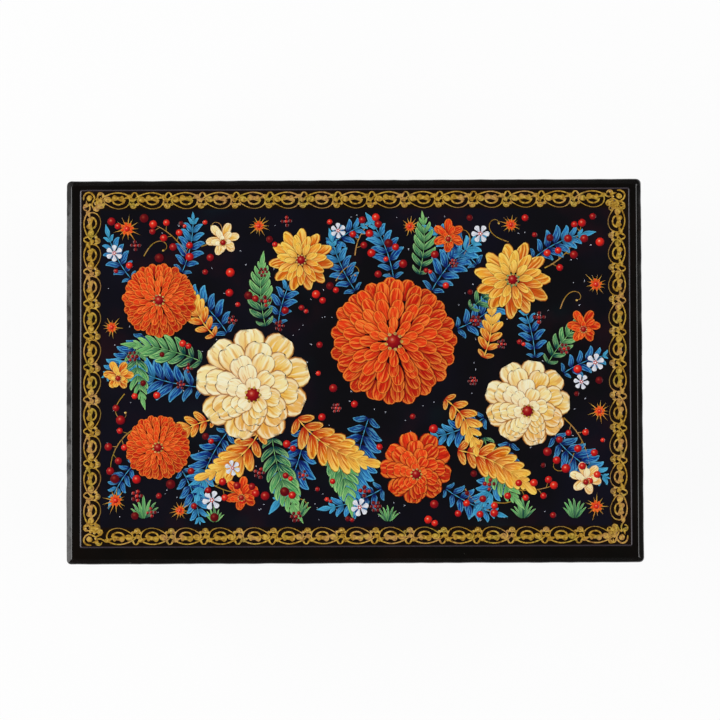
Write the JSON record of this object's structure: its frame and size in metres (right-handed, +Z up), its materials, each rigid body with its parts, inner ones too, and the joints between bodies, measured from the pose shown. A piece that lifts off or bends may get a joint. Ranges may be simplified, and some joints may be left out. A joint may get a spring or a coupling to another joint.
{
  "type": "hinged lacquer box",
  "caption": "Shallow rectangular lacquered box with a hinged, overhanging bevelled lid, locating lips under the lid and a framed decorative sheet on top.",
  "frame": {"origin": "centre of the box's footprint, on the plane that it stands on", "axes": "+X along the long side to the right, +Y towards the hinge side, +Z up through the lid"},
  "size_m": [0.09, 0.06, 0.0322],
  "materials": {
    "black_lacquer": "deep gloss black lacquer over pressed papier-mache",
    "red_lacquer": "gloss red lacquer, as inside the box",
    "painted_sheet": "gloss varnished folk floral painting with a gold scroll border",
    "brass": "plain rolled brass, lightly dulled"
  },
  "bodies": {
    "box": {"base_board": "black_lacquer", "front_wall": "black_lacquer", "back_wall": "black_lacquer", "left_wall": "black_lacquer", "right_wall": "black_lacquer", "hinge_leaf_body": "brass", "hinge_pin": "brass", "body_leaf_nails": "brass"},
    "lid": {"lid_board": "black_lacquer", "picture_sheet": "painted_sheet", "lid_lip_front": "red_lacquer", "lid_lip_back": "red_lacquer", "lid_lip_left": "red_lacquer", "lid_lip_right": "red_lacquer", "hinge_leaf_lid": "brass", "lid_leaf_nails": "brass"}
  },
  "joints": [
    {"name": "lid_hinge", "type": "hinge", "parent": "box", "child": "lid", "pos_m": [0, 0.029, 0.027], "axis": [-1, 0, 0], "range_deg": [0, 95]}
  ]
}
